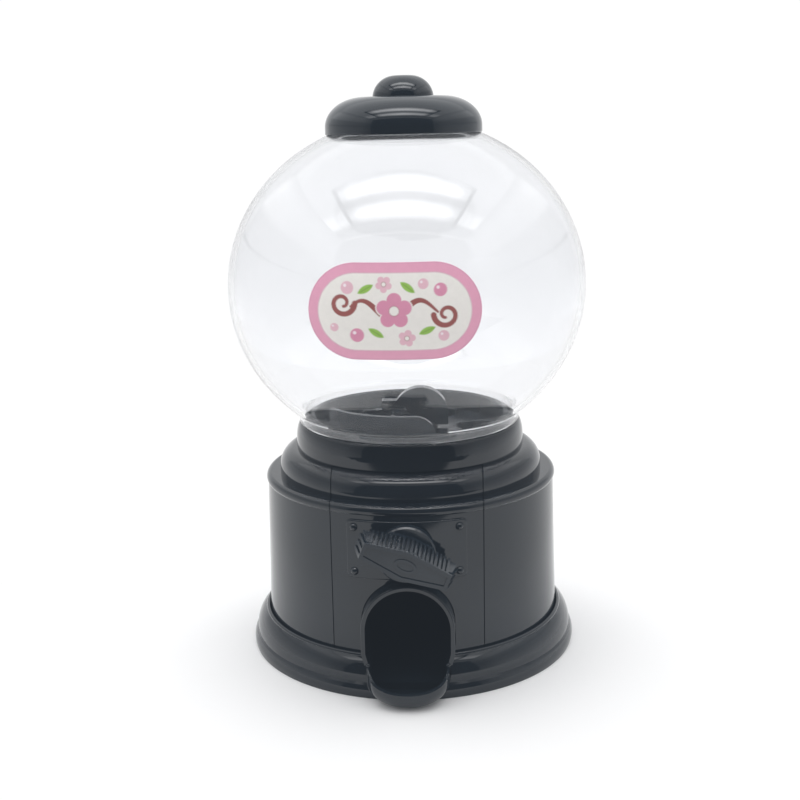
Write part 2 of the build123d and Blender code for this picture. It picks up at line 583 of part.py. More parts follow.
def knob():
    """Ribbed bar on a round hub, with a framed face and an oval boss."""
    full = tapered_bar(0)
    bar = tapered_bar(-RIB_H)
    for i in range(RIB_COUNT):
        x = (i - (RIB_COUNT - 1) / 2) * RIB_PITCH
        bar += full & block(x - RIB_W / 2, x + RIB_W / 2, -50, -35, -10, 10)
    for z in (-1.5, 0.0, 1.5):
        bar += full & block(-15, 15, -50, -35, z - 0.4, z + 0.4)
    bar += full & block(-15, 15, BAR_FRONT_Y, BAR_FRONT_Y + 0.3, -10, 10)
    bar -= prism_y(bar_outline(-0.8), BAR_FRONT_Y - 1, BAR_FRONT_Y + 0.35)
    bar += prism_y(Ellipse(2.6, 1.5), BAR_FRONT_Y + 0.1, BAR_FRONT_Y + 1)
    bar -= prism_y(Ellipse(1.9, 0.9), BAR_FRONT_Y - 1, BAR_FRONT_Y + 0.3)
    hub_shape = Circle(HUB_R - 0.1) & bar_outline(BAR_FLARE)
    bar += prism_y(hub_shape, BAR_BACK_Y - 0.1, HUB_FRONT_Y)
    hub = rod_y(HUB_R, HUB_FRONT_Y, HUB_BACK_Y, z=0)
    hub = chamfer(hub.edges().filter_by_position(Axis.Y, HUB_FRONT_Y - 0.01, HUB_FRONT_Y + 0.01), 0.35)
    whole = Pos(0, 0, AXIS_Z) * Rot(0, KNOB_TILT, 0) * (bar + hub)
    return whole - d_shaft(SHAFT_R + 0.05, KNOB_BORE_Y, -30)


def agitator():
    """Arched fin to one side, a cross arm and a sloping vane that stir the filling above the wheel."""
    base_z, top_z = WHEEL_TOP_Z, 64.4
    arch_r, arch_x = 6.9, 2.9
    body = rod(7.2, base_z, base_z + 1.2)
    spring_z = top_z - arch_r
    arch = Pos(arch_x, spring_z) * Circle(arch_r) & Pos(arch_x, top_z) * Rectangle(30, 2 * arch_r)
    leg_h = spring_z - base_z - 1
    arch += Pos(arch_x, spring_z - leg_h / 2) * Rectangle(2 * arch_r, leg_h)
    arch += Pos(-1.0, 59.7) * Rectangle(11.6, 2.6)
    fin = prism_y(arch, -1.4, 1.4) - prism_y(Pos(-0.8, 59.7) * Rectangle(10.8, 1.8), -3, -0.4)
    fin -= prism_y(Pos(1.6, 57.3) * Rectangle(4.2, 3.2), -3, -0.4)
    slope = Plane.XZ * make_face(Polyline(
        (-1.0, 59.0), (-8.8, base_z + 1.2), (-8.8, base_z + 0.25), (-7.4, base_z + 0.25), (0.0, 57.6),
        close=True))
    vane = Pos(0, -1.0, 0) * extrude(slope, 6.0)
    whole = body + fin + vane
    for x in (-4.6, 4.6):
        whole += rod(1.0, WHEEL_TOP_Z - 2.3, WHEEL_TOP_Z + 0.1, x)
    return whole


def ellipsoid_half(grow):
    """Right half of the globe's outline, grown by a wall thickness."""
    outline = Pos(0, GLOBE_MID_Z) * Ellipse(GLOBE_R + grow, GLOBE_HALF_H + grow)
    return outline & Pos(50, GLOBE_MID_Z) * Rectangle(100, 200)


def ellipsoid(grow):
    """The globe's outside as a solid, grown all round."""
    return revolve(Plane.XZ * ellipsoid_half(grow), Axis.Z)


def globe():
    """Clear ellipsoid shell, open at the top and on a short neck."""
    skirt_in = SKIRT_R - GLOBE_WALL
    shape = ellipsoid_half(0) - ellipsoid_half(-GLOBE_WALL)
    shape -= Pos(MOUTH_R / 2, 125) * Rectangle(MOUTH_R, 20)
    shape -= Pos(skirt_in / 2, 55) * Rectangle(skirt_in, 14)
    shape -= Pos(20, 50.4) * Rectangle(60, 13)
    neck_h = 60.0 - COLLAR_TOP_Z
    shape += Pos(skirt_in + GLOBE_WALL / 2, COLLAR_TOP_Z + neck_h / 2) * Rectangle(GLOBE_WALL, neck_h)
    return revolve(Plane.XZ * shape, Axis.Z)


LABEL_X, LABEL_Z = -1.3, 90.0
LABEL_W, LABEL_H = 37.1, 20.8


def globe_label():
    """Paper label that lies on the front of the globe."""
    outline = Pos(LABEL_X, LABEL_Z) * SlotOverall(LABEL_W, LABEL_H)
    skin = ellipsoid(0.16) - ellipsoid(0.01)
    return skin & prism_y(outline, -60, -20)


LID_R = 18.7
LID_EDGE_Z = 126.0
LID_SIDE_Z = 127.9
LID_CROWN_R = 9.5
LID_CROWN_Z = 134.8
KNOP_R = 7.25
KNOP_MID_Z = 134.4
KNOP_FLAT_R = 1.8        # flat crown of the knop
LID_BORE_R = 16.9
LID_ROOF_Z = 133.2


def lid():
    """Domed lid with a round knop, hollow underneath."""
    cave_top = TOP_Z - WALL
    outside = [
        Line((0, LID_EDGE_Z), (LID_R - 0.6, LID_EDGE_Z)),
        ThreePointArc((LID_R - 0.6, LID_EDGE_Z), (LID_R - 0.18, LID_EDGE_Z + 0.18),
                      (LID_R, LID_EDGE_Z + 0.6)),
        Line((LID_R, LID_EDGE_Z + 0.6), (LID_R, LID_SIDE_Z)),
        EllipticalCenterArc(
            (LID_CROWN_R, LID_SIDE_Z), LID_R - LID_CROWN_R, LID_CROWN_Z - LID_SIDE_Z, arc_size=90),
        Line((LID_CROWN_R, LID_CROWN_Z), (KNOP_R, KNOP_MID_Z)),
        EllipticalCenterArc(
            (KNOP_FLAT_R, KNOP_MID_Z), KNOP_R - KNOP_FLAT_R, TOP_Z - KNOP_MID_Z, arc_size=90),
        Line((KNOP_FLAT_R, TOP_Z), (0, TOP_Z)),
        Line((0, TOP_Z), (0, LID_EDGE_Z)),
    ]
    inside = [
        Line((0, LID_EDGE_Z - 1), (LID_BORE_R, LID_EDGE_Z - 1)),
        Line((LID_BORE_R, LID_EDGE_Z - 1), (LID_BORE_R, LID_SIDE_Z)),
        EllipticalCenterArc(
            (LID_CROWN_R, LID_SIDE_Z), LID_BORE_R - LID_CROWN_R, LID_ROOF_Z - LID_SIDE_Z, arc_size=90),
        Line((LID_CROWN_R, LID_ROOF_Z), (KNOP_R - WALL, LID_ROOF_Z)),
        EllipticalCenterArc(
            (KNOP_FLAT_R, LID_ROOF_Z), KNOP_R - WALL - KNOP_FLAT_R, cave_top - LID_ROOF_Z, arc_size=90),
        Line((KNOP_FLAT_R, cave_top), (0, cave_top)),
        Line((0, cave_top), (0, LID_EDGE_Z - 1)),
    ]
    return lathe_edges(outside) - lathe_edges(inside) - ellipsoid(0.15)


def lid_plug():
    """Ring that closes the lid underneath and drops into the globe's mouth."""
    plug = rod(16.85, 127.15, 128.05)
    plug += rod(16.1, 125.4, 127.2) - rod(14.9, 125, 126.9)
    return plug


def save(name, shape):
    """Writes one sub-part to its own file."""
    solids = shape if isinstance(shape, list) else shape.solids()
    whole = Compound(children=list(solids)) if len(solids) > 1 else solids[0]
    export_step(whole, f"parts/{name}.step")


def main():
    os.makedirs("parts", exist_ok=True)
    pieces = {
        "base_ring": base_ring(),
        "bottom_cover": bottom_cover(),
        "bottom_screws": screws_at(BOTTOM_POSTS, 1.0, BOTTOM_PILOT_R, 2.4, 0.8, 9.0),
        "rear_shell": rear_shell(),
        "front_panel": front_panel(),
        "outlet_chute": outlet_chute(),
        "drop_duct": drop_duct(),
        "hopper_cup": hopper_cup(),
        "hopper_screws": screws_at(HOPPER_POSTS, DECK_LOW_Z, 1.0, 2.2, 1.2, 4.2),
        "outlet_guard": outlet_guard(),
        "dispensing_wheel": dispensing_wheel(),
        "agitator": agitator(),
        "crown_gear": crown_gear(),
        "wheel_washer": rod(3.1, CROWN_LOW_Z - 0.6, CROWN_LOW_Z - 0.05) - rod(1.0, 30, 50),
        "wheel_screw": Pos(0, 0, CROWN_LOW_Z - 0.6) * cross_screw(0.9, 2.1, 1.1, 4.8),
        "knob": knob(),
        "knob_shaft": knob_shaft(),
        "shaft_clip": shaft_clip(),
        "drive_pinion": drive_pinion(),
        "gear_bracket": gear_bracket(),
        "bracket_screws": screws_at(BRACKET_POSTS, DECK_LOW_Z - 3.65, 1.0, 2.1, 1.1, 4.9),
        "globe": globe(),
        "globe_label": globe_label(),
        "lid": lid(),
        "lid_plug": lid_plug(),
    }
    for name, shape in pieces.items():
        save(name, shape)


main()
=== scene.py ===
import json
import math

import bmesh
import bpy
import numpy as np
from mathutils import Matrix, Vector


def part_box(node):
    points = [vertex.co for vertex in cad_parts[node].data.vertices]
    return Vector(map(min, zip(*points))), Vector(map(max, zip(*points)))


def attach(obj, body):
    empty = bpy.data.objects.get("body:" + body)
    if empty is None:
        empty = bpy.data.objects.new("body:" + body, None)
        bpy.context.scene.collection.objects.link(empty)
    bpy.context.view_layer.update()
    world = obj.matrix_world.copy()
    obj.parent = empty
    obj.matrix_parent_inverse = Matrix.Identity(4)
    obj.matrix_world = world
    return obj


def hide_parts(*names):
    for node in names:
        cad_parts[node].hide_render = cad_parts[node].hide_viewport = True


# Gumball machine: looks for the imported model.  Metres; the front of the machine faces -Y.
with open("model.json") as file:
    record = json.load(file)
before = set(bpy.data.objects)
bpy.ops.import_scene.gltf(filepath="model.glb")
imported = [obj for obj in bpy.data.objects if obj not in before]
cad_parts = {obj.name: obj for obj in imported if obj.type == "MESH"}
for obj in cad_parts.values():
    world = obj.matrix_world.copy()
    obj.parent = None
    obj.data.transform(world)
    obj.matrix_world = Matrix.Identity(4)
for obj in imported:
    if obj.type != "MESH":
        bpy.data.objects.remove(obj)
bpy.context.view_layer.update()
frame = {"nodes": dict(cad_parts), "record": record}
MM = 0.001

# ---- globe and label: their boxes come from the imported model, the rest repeats its dimensions ----
GLOBE_LOW, GLOBE_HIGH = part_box("globe")
GLOBE_R = (GLOBE_HIGH.x - GLOBE_LOW.x) / 2
GLOBE_MID_Z = 0.090      # height of the globe's widest line
GLOBE_HALF_H = 0.0399    # the globe is a little flatter than a sphere
GLOBE_WALL = 0.0013
MOUTH_R = 0.0165
LIP = 0.0008             # width of the milky lip round the mouth, under the lid
LIP_LOW = 0.12           # the lip lies above this height
SKIRT_R = 0.0273         # the neck that stands on the collar
EDGE = 0.00018           # chamfer of the globe's cut edges
LABEL_LOW, LABEL_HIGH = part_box("globe_label")
LABEL_LIFT = 0.00013     # the label's printed side above the globe's surface
LABEL_THICK = 0.0001


# ---------------------------------------------------------------- helpers
def new_mesh(name, verts, faces, smooth=True):
    """A mesh object from plain lists."""
    mesh = bpy.data.meshes.new(name)
    mesh.from_pydata([tuple(v) for v in verts], [], [tuple(f) for f in faces])
    mesh.validate()
    piece = bpy.data.objects.new(name, mesh)
    bpy.context.scene.collection.objects.link(piece)
    if smooth:
        mesh.polygons.foreach_set("use_smooth", [True] * len(mesh.polygons))
    return piece


def spin(name, outline, segments=192):
    """Turns a closed (radius, z) outline about the Z axis; a radius of 0 becomes a pole."""
    verts, rows = [], []
    for r, z in outline:
        if r < 1e-7:
            rows.append([len(verts)] * segments)
            verts.append((0, 0, z))
            continue
        rows.append(list(range(len(verts), len(verts) + segments)))
        for i in range(segments):
            a = 2 * math.pi * i / segments
            verts.append((r * math.cos(a), r * math.sin(a), z))
    faces = []
    for k, low in enumerate(rows):
        high = rows[(k + 1) % len(rows)]
        for i in range(segments):
            j = (i + 1) % segments
            corner = []
            for v in (low[i], low[j], high[j], high[i]):
                if v not in corner:
                    corner.append(v)
            if len(corner) > 2:
                faces.append(corner)
    piece = new_mesh(name, verts, faces)
    outward_normals(piece)
    return piece


def outward_normals(piece):
    """Makes every face of a closed mesh point outwards."""
    work = bmesh.new()
    work.from_mesh(piece.data)
    bmesh.ops.recalc_face_normals(work, faces=work.faces)
    work.to_mesh(piece.data)
    work.free()


def node_material(name):
    """A material with a cleared tree but for its Principled shader; returns it, its tree, its shader."""
    material = bpy.data.materials.new(name)
    material.use_nodes = True
    tree = material.node_tree
    return material, tree, tree.nodes["Principled BSDF"]


def noise(tree, scale, detail=2.0, stretch=(1, 1, 1), rough=0.5):
    """Noise in object space; returns the node's output that holds its value."""
    place = tree.nodes.new("ShaderNodeTexCoord")
    mapping = tree.nodes.new("ShaderNodeMapping")
    mapping.inputs["Scale"].default_value = stretch
    texture = tree.nodes.new("ShaderNodeTexNoise")
    texture.inputs["Scale"].default_value = scale
    texture.inputs["Detail"].default_value = detail
    texture.inputs["Roughness"].default_value = rough
    tree.links.new(place.outputs["Object"], mapping.inputs["Vector"])
    tree.links.new(mapping.outputs["Vector"], texture.inputs["Vector"])
    return texture.outputs["Fac"]


def ramp(tree, source, low, high, colors):
    """Maps a value between two positions to two colours or greys."""
    node = tree.nodes.new("ShaderNodeValToRGB")
    node.color_ramp.elements[0].position = low
    node.color_ramp.elements[1].position = high
    for element, color in zip(node.color_ramp.elements, colors):
        element.color = (*color, 1) if len(color) == 3 else color
    tree.links.new(source, node.inputs["Fac"])
    return node.outputs["Color"]


def spread(tree, source, low, high):
    """Stretches a 0 to 1 value to another range."""
    node = tree.nodes.new("ShaderNodeMapRange")
    node.inputs["From Min"].default_value = 0.3
    node.inputs["From Max"].default_value = 0.7
    node.inputs["To Min"].default_value = low
    node.inputs["To Max"].default_value = high
    tree.links.new(source, node.inputs["Value"])
    return node.outputs["Result"]


def bumps(tree, shader, layers):
    """Chains bump nodes; each layer is (height value, strength, distance in metres)."""
    normal = None
    for height, strength, distance in layers:
        node = tree.nodes.new("ShaderNodeBump")
        node.inputs["Strength"].default_value = strength
        node.inputs["Distance"].default_value = distance
        tree.links.new(height, node.inputs["Height"])
        if normal is not None:
            tree.links.new(normal, node.inputs["Normal"])
        normal = node.outputs["Normal"]
    tree.links.new(normal, shader.inputs["Normal"])


def assign(name, material):
    """Gives a CAD node its finished material."""
    node = frame["nodes"][name]
    if not node.material_slots:
        node.data.materials.append(material)
    for slot in node.material_slots:
        slot.material = material


# ---------------------------------------------------------------- materials
ABS_IOR = 1.53
POLYSTYRENE_IOR = 1.52


def gloss_black(name, base=0.0045, rough=(0.05, 0.1), peel=0.05, sink=0.3):
    """Injection-moulded gloss plastic: orange peel, shallow sink waves and faint handling haze."""
    material, tree, shader = node_material(name)
    tone = noise(tree, 45, 3)
    deep = (base, base * 1.5, base * 2.1)
    pale = (base * 1.4, base * 2.1, base * 2.9)
    tree.links.new(ramp(tree, tone, 0.35, 0.7, [deep, pale]), shader.inputs["Base Color"])
    haze = noise(tree, 130, 5, rough=0.6)
    tree.links.new(spread(tree, haze, *rough), shader.inputs["Roughness"])
    shader.inputs["IOR"].default_value = ABS_IOR
    bumps(tree, shader, [
        (noise(tree, 55, 1), sink, 0.00035),
        (noise(tree, 1500, 2), peel, 0.00002),
        (noise(tree, 420, 2, stretch=(1, 1, 0.05)), 0.04, 0.00003),
    ])
    return material


def clear_plastic():
    """Clear polystyrene with the slight waves of a moulded globe and a few fine scuffs."""
    material, tree, shader = node_material("clear_polystyrene")
    shader.inputs["Base Color"].default_value = (0.975, 0.98, 0.992, 1)
    shader.inputs["Transmission Weight"].default_value = 0.975
    shader.inputs["IOR"].default_value = POLYSTYRENE_IOR
    scuff = noise(tree, 300, 6, stretch=(1, 1, 0.3), rough=0.7)
    tree.links.new(ramp(tree, scuff, 0.62, 0.8, [(0.0, 0.0, 0.0), (0.05, 0.05, 0.05)]),
                   shader.inputs["Roughness"])
    bumps(tree, shader, [(noise(tree, 40, 1), 0.12, 0.0006)])
    return material


def frosted_rim():
    """The globe's mouth where the moulding was trimmed: milky, with fine saw marks round the edge."""
    material, tree, shader = node_material("clear_polystyrene_trimmed")
    grain = noise(tree, 900, 4, stretch=(1, 1, 3))
    tree.links.new(ramp(tree, grain, 0.3, 0.7, [(0.72, 0.74, 0.76), (0.86, 0.88, 0.9)]),
                   shader.inputs["Base Color"])
    shader.inputs["Roughness"].default_value = 0.35
    shader.inputs["Transmission Weight"].default_value = 0.15
    shader.inputs["IOR"].default_value = POLYSTYRENE_IOR
    bumps(tree, shader, [(grain, 0.15, 0.00003)])
    return material


def steel(name, rough):
    """Plated steel with fine turning marks."""
    material, tree, shader = node_material(name)
    shader.inputs["Base Color"].default_value = (0.58, 0.58, 0.6, 1)
    shader.inputs["Metallic"].default_value = 1.0
    grain = noise(tree, 900, 4, stretch=(1, 0.1, 1))
    tree.links.new(spread(tree, grain, rough * 0.7, rough * 1.3), shader.inputs["Roughness"])
    bumps(tree, shader, [(grain, 0.1, 0.00002)])
    return material


def natural_nylon():
    """Milky gear plastic."""
    material, tree, shader = node_material("natural_nylon")
    tone = noise(tree, 200, 3)
    tree.links.new(ramp(tree, tone, 0.3, 0.7, [(0.72, 0.69, 0.61), (0.8, 0.78, 0.7)]),
                   shader.inputs["Base Color"])
    shader.inputs["Roughness"].default_value = 0.42
    shader.inputs["Subsurface Weight"].default_value = 0.15
    shader.inputs["Subsurface Radius"].default_value = (0.001, 0.001, 0.0008)
    bumps(tree, shader, [(noise(tree, 1800, 2), 0.08, 0.00002)])
    return material


def label_paper():
    """Printed paper: colour from the piece's painted points, paper fibre and a light varnish."""
    material, tree, shader = node_material("printed_label")
    print_color = tree.nodes.new("ShaderNodeVertexColor")
    print_color.layer_name = "print"
    fibre = ramp(tree, noise(tree, 700, 6, rough=0.7), 0.25, 0.8, [(0.93, 0.93, 0.93), (1, 1, 1)])
    mix = tree.nodes.new("ShaderNodeMix")
    mix.data_type = "RGBA"
    mix.blend_type = "MULTIPLY"
    mix.inputs["Factor"].default_value = 1.0
    tree.links.new(print_color.outputs["Color"], mix.inputs["A"])
    tree.links.new(fibre, mix.inputs["B"])
    tree.links.new(mix.outputs["Result"], shader.inputs["Base Color"])
    shader.inputs["Roughness"].default_value = 0.42
    shader.inputs["Coat Weight"].default_value = 0.15
    shader.inputs["Coat Roughness"].default_value = 0.25
    bumps(tree, shader, [(noise(tree, 900, 4), 0.06, 0.00002)])
    return material


def label_back():
    """The label's plain side, seen through the globe: dull paper with a mottled film of glue."""
    material, tree, shader = node_material("label_glue_side")
    glue = noise(tree, 260, 5, rough=0.65)
    tree.links.new(ramp(tree, glue, 0.3, 0.75, [(0.86, 0.85, 0.83), (0.94, 0.935, 0.92)]),
                   shader.inputs["Base Color"])
    tree.links.new(spread(tree, glue, 0.45, 0.7), shader.inputs["Roughness"])
    bumps(tree, shader, [(glue, 0.1, 0.00003)])
    return material


# ---------------------------------------------------------------- globe
def arc_points(radius, half_h, start_r, end_r, count=110):
    """Points on the globe's side from a lower radius over the widest line to an upper one."""
    low = -math.acos(start_r / radius)
    high = math.acos(end_r / radius)
    turns = [low + (high - low) * i / count for i in range(count + 1)]
    return [(radius * math.cos(t), GLOBE_MID_Z + half_h * math.sin(t)) for t in turns]


def build_globe():
    """Clear shell with real wall thickness, a trimmed mouth and a short neck."""
    skirt_in = SKIRT_R - GLOBE_WALL
    foot = GLOBE_LOW.z
    outer = arc_points(GLOBE_R, GLOBE_HALF_H, SKIRT_R, MOUTH_R + EDGE)
    inner = arc_points(GLOBE_R - GLOBE_WALL, GLOBE_HALF_H - GLOBE_WALL, skirt_in + 0.0003, MOUTH_R)
    neck_z = outer[0][1]
    outline = [(skirt_in + EDGE, foot), (SKIRT_R - EDGE, foot), (SKIRT_R, foot + EDGE)]
    outline += [(SKIRT_R, foot + (neck_z - foot) * f) for f in (0.35, 0.65, 0.88)]
    outline += outer
    outline += [(MOUTH_R, outer[-1][1] - EDGE)]
    outline += inner[::-1]
    outline += [(skirt_in, inner[0][1] - 0.0008), (skirt_in, foot + EDGE)]
    piece = spin("globe_shell", outline, 256)
    piece.data.materials.append(clear_plastic())
    piece.data.materials.append(frosted_rim())
    for face in piece.data.polygons:
        if face.center.z > LIP_LOW and math.hypot(face.center.x, face.center.y) < MOUTH_R + LIP:
            face.material_index = 1
    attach(piece, "body")
    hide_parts("globe")
    return piece


# ---------------------------------------------------------------- label
CREAM = np.array([0.88, 0.85, 0.81])
ROSE = np.array([0.80, 0.375, 0.52])
PINK = np.array([0.72, 0.29, 0.43])
PALE_PINK = np.array([0.80, 0.50, 0.58])
COCOA = np.array([0.33, 0.095, 0.085])
LEAF = np.array([0.30, 0.53, 0.09])
GLINT = np.array([0.95, 0.86, 0.9])
FAR = 99.0               # mm: further than any point of the label from any shape
LABEL_BORDER = 2.1       # mm: width of the rose border

# the print's art, in mm from the label's middle
SCROLL_HALF_W = 9.2
LEAVES = ((-6.0, 4.9, 0.5), (6.9, -4.0, 0.4), (2.9, 5.2, 2.5), (-3.9, -4.4, 2.6))
SWEETS = (
    (-9.9, 5.2, 1.35, PALE_PINK), (9.8, 4.6, 1.4, PINK), (-8.0, -4.9, 1.5, PINK),
    (10.4, -5.2, 1.15, PALE_PINK), (6.2, 5.9, 1.1, PALE_PINK), (-12.9, -3.3, 0.9, PALE_PINK))
BLOSSOMS = ((0.0, 0.3, 3.9, 0.3, PINK), (-2.1, 5.9, 1.8, 0.9, PALE_PINK), (2.6, -5.6, 1.9, 0.1, PALE_PINK))


def cover(distance, softness=0.09):
    """1 inside a shape, 0 outside, with a soft printed edge; distance in mm."""
    return np.clip(0.5 - distance / (2 * softness), 0, 1)


def to_segment(x, z, ax, az, bx, bz):
    """Distance to a straight stroke."""
    dx, dz = bx - ax, bz - az
    t = np.clip(((x - ax) * dx + (z - az) * dz) / (dx * dx + dz * dz), 0, 1)
    return np.hypot(x - ax - t * dx, z - az - t * dz)


def stroke(x, z, points, widths):
    """Distance to a tapering brush stroke through points."""
    best = np.full(x.shape, FAR)
    for (a, b, wa, wb) in zip(points[:-1], points[1:], widths[:-1], widths[1:]):
        best = np.minimum(best, to_segment(x, z, *a, *b) - (wa + wb) / 4)
    return best


def curl(cx, cz, radius, start, turns, inner=0.25, steps=48):
    """Points of a spiral that winds in from a start angle, in turns."""
    found = []
    for i in range(steps + 1):
        t = i / steps
        a = start + turns * 2 * math.pi * t
        r = radius * (1 - (1 - inner) * t)
        found.append((cx + r * math.cos(a), cz + r * math.sin(a)))
    return found


def blossom(x, z, cx, cz, radius, turn, petals=5):
    """Distance to a round-petalled blossom."""
    best = np.full(x.shape, FAR)
    for i in range(petals):
        a = turn + 2 * math.pi * i / petals
        px, pz = cx + radius * 0.58 * math.cos(a), cz + radius * 0.58 * math.sin(a)
        best = np.minimum(best, np.hypot(x - px, z - pz) - radius * 0.40)
    return best


def leaf(x, z, cx, cz, length, turn):
    """Distance to a pointed leaf made of two arcs."""
    u = (x - cx) * math.cos(turn) + (z - cz) * math.sin(turn)
    v = -(x - cx) * math.sin(turn) + (z - cz) * math.cos(turn)
    bend = length * 0.55
    big = math.hypot(length / 2, bend)
    return np.maximum(np.hypot(u, v - bend), np.hypot(u, v + bend)) - big


def scroll_wave(steps=60):
    """The scroll's middle stroke: its points, and its width at each."""
    shares = [i / steps for i in range(steps + 1)]
    points = [(SCROLL_HALF_W * (2 * t - 1), 1.9 * math.sin(t * 3 * math.pi + 0.35) + 0.6) for t in shares]
    return points, [0.45 + 0.95 * math.sin(math.pi * t) for t in shares]


def print_colors(x, z, half_w, half_h):
    """The label's print: a rose border round a cream field with a scroll, leaves, sweets and flowers."""
    spine = half_w - half_h
    edge = np.hypot(np.maximum(np.abs(x) - spine, 0), z) - half_h
    color = np.tile(CREAM, (len(x), 1))

    def paint(distance, shade, strength=1.0):
        amount = (cover(distance) * strength)[:, None]
        color[:] = color * (1 - amount) + shade * amount

    paint(stroke(x, z, *scroll_wave()), COCOA)
    for side in (-1, 1):
        ring = curl(side * 11.0, 0.6 - side * 1.3, 2.7, math.pi * (1.5 - side * 0.5), side * 1.2)
        widths = [1.2 - 0.6 * i / len(ring) for i in range(len(ring))]
        paint(stroke(x, z, ring, widths), COCOA)
    for cx, cz, turn in LEAVES:
        paint(leaf(x, z, cx, cz, 3.8, turn), LEAF)
        vein = to_segment(x, z, cx - 1.3 * math.cos(turn), cz - 1.3 * math.sin(turn),
                          cx + 1.3 * math.cos(turn), cz + 1.3 * math.sin(turn))
        paint(vein - 0.08, LEAF * 0.55, 0.7)
    for cx, cz, radius, shade in SWEETS:
        paint(np.hypot(x - cx, z - cz) - radius, shade)
        glint = np.hypot(x - cx + radius * 0.35, z - cz - radius * 0.35)
        paint(glint - radius * 0.25, GLINT, 0.9)
    for cx, cz, radius, turn, shade in BLOSSOMS:
        shape = blossom(x, z, cx, cz, radius, turn)
        paint(shape - 0.25, CREAM)
        paint(shape, shade)
        paint(np.hypot(x - cx, z - cz) - radius * 0.27, CREAM)
        paint(np.abs(np.hypot(x - cx, z - cz) - radius * 0.27) - 0.08, COCOA, 0.6)
    paint(-(edge + LABEL_BORDER), ROSE)
    paint(-(edge + 0.25), ROSE * 0.82, 0.6)
    paint(np.abs(edge + LABEL_BORDER + 0.05) - 0.08, ROSE * 0.75, 0.6)
    return color


def stadium_border(half_w, half_h, around):
    """Evenly spaced points round a stadium, clockwise from the start of its top side."""
    spine = half_w - half_h
    straight, bend = 2 * spine, math.pi * half_h
    total = 2 * straight + 2 * bend
    border = []
    for i in range(around):
        s = total * i / around
        if s < straight:
            border.append((-spine + s, half_h))
        elif s < straight + bend:
            a = math.pi / 2 - (s - straight) / half_h
            border.append((spine + half_h * math.cos(a), half_h * math.sin(a)))
        elif s < 2 * straight + bend:
            border.append((spine - (s - straight - bend), -half_h))
        else:
            a = -math.pi / 2 - (s - 2 * straight - bend) / half_h
            border.append((-spine + half_h * math.cos(a), half_h * math.sin(a)))
    return border


def build_label():
    """Paper stadium laid on the globe, with its print as painted points."""
    half_w = (LABEL_HIGH.x - LABEL_LOW.x) / 2 / MM
    half_h = (LABEL_HIGH.z - LABEL_LOW.z) / 2 / MM
    mid_x = (LABEL_HIGH.x + LABEL_LOW.x) / 2
    mid_z = (LABEL_HIGH.z + LABEL_LOW.z) / 2
    rings, around = 84, 520
    border = stadium_border(half_w, half_h, around)
    flat = [(0.0, 0.0)]
    for k in range(1, rings + 1):
        share = k / rings
        flat += [(bx * share, bz * share) for bx, bz in border]
    radius, half_height = GLOBE_R + LABEL_LIFT, GLOBE_HALF_H + LABEL_LIFT
    verts = []
    for u, v in flat:
        x, z = mid_x + u * MM, mid_z + v * MM
        ring_r = radius * math.sqrt(1 - ((z - GLOBE_MID_Z) / half_height) ** 2)
        verts.append((x, -math.sqrt(ring_r**2 - x**2), z))
    faces = [(0, 1 + (i + 1) % around, 1 + i) for i in range(around)]
    for k in range(1, rings):
        a, b = 1 + (k - 1) * around, 1 + k * around
        for i in range(around):
            j = (i + 1) % around
            faces.append((a + i, a + j, b + j, b + i))
    piece = new_mesh("label_print", verts, faces)
    flat = np.array(flat)
    shades = print_colors(flat[:, 0], flat[:, 1], half_w, half_h)
    layer = piece.data.color_attributes.new("print", "FLOAT_COLOR", "POINT")
    rgba = np.ones((len(flat), 4), np.float32)
    rgba[:, :3] = shades
    layer.data.foreach_set("color", rgba.ravel())
    thickness = piece.modifiers.new("paper", "SOLIDIFY")
    thickness.thickness = LABEL_THICK
    thickness.offset = -1
    thickness.material_offset = 1    # the inner side takes the second material
    piece.data.materials.append(label_paper())
    piece.data.materials.append(label_back())
    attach(piece, "body")
    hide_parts("globe_label")
    return piece


# ---------------------------------------------------------------- CAD nodes' finishes
HOPPER_NODES = ("dispensing_wheel", "agitator", "outlet_guard", "hopper_cup")   # seen through the globe


def finish_cad_nodes():
    """Assigns the finished materials to the CAD nodes that stay."""
    black = gloss_black("gloss_black_shell")
    ribbed = gloss_black("satin_black_knob", base=0.006, rough=(0.12, 0.2), peel=0.08, sink=0.1)
    hopper = gloss_black("hopper_black", base=0.013, rough=(0.1, 0.18))
    screws, shaft, gears = steel("plated_screw", 0.3), steel("drawn_shaft", 0.22), natural_nylon()
    finishes = {
        "black_plastic": black, "knob_plastic": ribbed, "screw_steel": screws,
        "shaft_steel": shaft, "gear_plastic": gears,
    }
    for entry in frame["record"]["subparts"]:
        material = hopper if entry["node"] in HOPPER_NODES else finishes.get(entry["material_slot"])
        if material:
            assign(entry["node"], material)


# ---------------------------------------------------------------- stage, light, camera
TENT_HALF_W = 0.30       # a small white light tent round the machine, open at its front
TENT_TOP = 0.40
TENT_BACK = 0.30
TENT_FRONT = -0.30
FLOOR_END = -0.165       # the tent's white floor ends here; the table beyond it is dark
ROOM_BEYOND = 0.02       # the dark room stands this far in front of the tent
WHITE = 1.02             # light of the white surround, just past full white
FLOOR_FADE = (0.046, 0.125)  # from the floor that takes shadow to the surround's own white
BLACK_LEVEL = (-0.0135, -0.0165, -0.0205)

CAMERA_AT = (0.01000, -0.29383, 0.12930)
CAMERA_HEADING, CAMERA_PITCH, CAMERA_ROLL = -2.389, 13.06, 1.244    # degrees
CAMERA_LENS = 54.27


